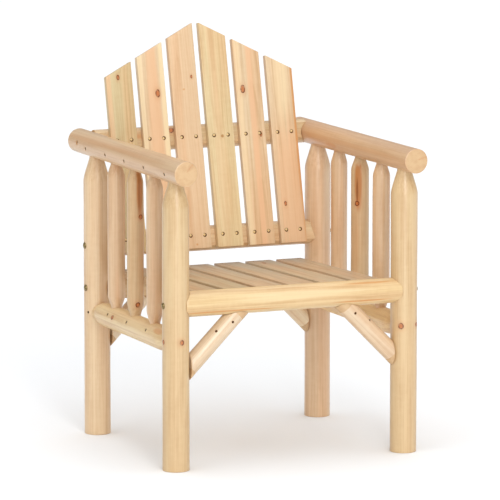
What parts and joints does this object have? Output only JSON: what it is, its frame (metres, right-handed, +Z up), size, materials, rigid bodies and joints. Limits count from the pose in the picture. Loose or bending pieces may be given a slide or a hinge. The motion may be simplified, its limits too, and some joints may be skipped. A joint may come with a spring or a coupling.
{
  "type": "wooden armchair",
  "caption": "Log-style wooden armchair with round posts, spindled sides, log arms, a slatted seat and a leaning slatted back that peaks in the middle.",
  "frame": {"origin": "on the floor, at the centre of the chair's outer box", "axes": "+Z up, -Y to the chair's front, +X to the sitter's left"},
  "size_m": [0.6728, 0.6996, 1.0108],
  "materials": {
    "log_wood": "peeled and sanded pale softwood logs, clear satin",
    "spindle_wood": "peeled softwood spindles, clear satin",
    "seat_wood": "sawn and sanded softwood boards, clear satin",
    "back_wood": "sawn and sanded softwood boards, clear satin",
    "zinc_steel": "dull yellowish zinc plate"
  },
  "bodies": {
    "root": {"front_leg_right": "log_wood", "rear_leg_right": "log_wood", "arm_right": "log_wood", "side_rail_right": "log_wood", "spindle_right_1": "spindle_wood", "spindle_right_2": "spindle_wood", "spindle_right_3": "spindle_wood", "front_brace_right": "log_wood", "rear_brace_right": "log_wood", "front_seat_rail_bolt_right": "zinc_steel", "rear_seat_rail_bolt_right": "zinc_steel", "lower_back_rail_bolt_right": "zinc_steel", "arm_screw_right": "zinc_steel", "front_leg_left": "log_wood", "rear_leg_left": "log_wood", "arm_left": "log_wood", "side_rail_left": "log_wood", "spindle_left_1": "spindle_wood", "spindle_left_2": "spindle_wood", "spindle_left_3": "spindle_wood", "front_brace_left": "log_wood", "rear_brace_left": "log_wood", "front_seat_rail_bolt_left": "zinc_steel", "rear_seat_rail_bolt_left": "zinc_steel", "lower_back_rail_bolt_left": "zinc_steel", "arm_screw_left": "zinc_steel", "front_seat_rail": "log_wood", "rear_seat_rail": "log_wood", "lower_back_rail": "log_wood", "upper_back_rail": "log_wood", "seat_slat_1": "seat_wood", "seat_slat_2": "seat_wood", "seat_slat_3": "seat_wood", "seat_slat_4": "seat_wood", "seat_slat_5": "seat_wood", "seat_slat_6": "seat_wood", "back_slat_1": "back_wood", "back_slat_2": "back_wood", "back_slat_3": "back_wood", "back_slat_4": "back_wood", "back_slat_5": "back_wood", "back_slat_6": "back_wood"}
  },
  "joints": []
}
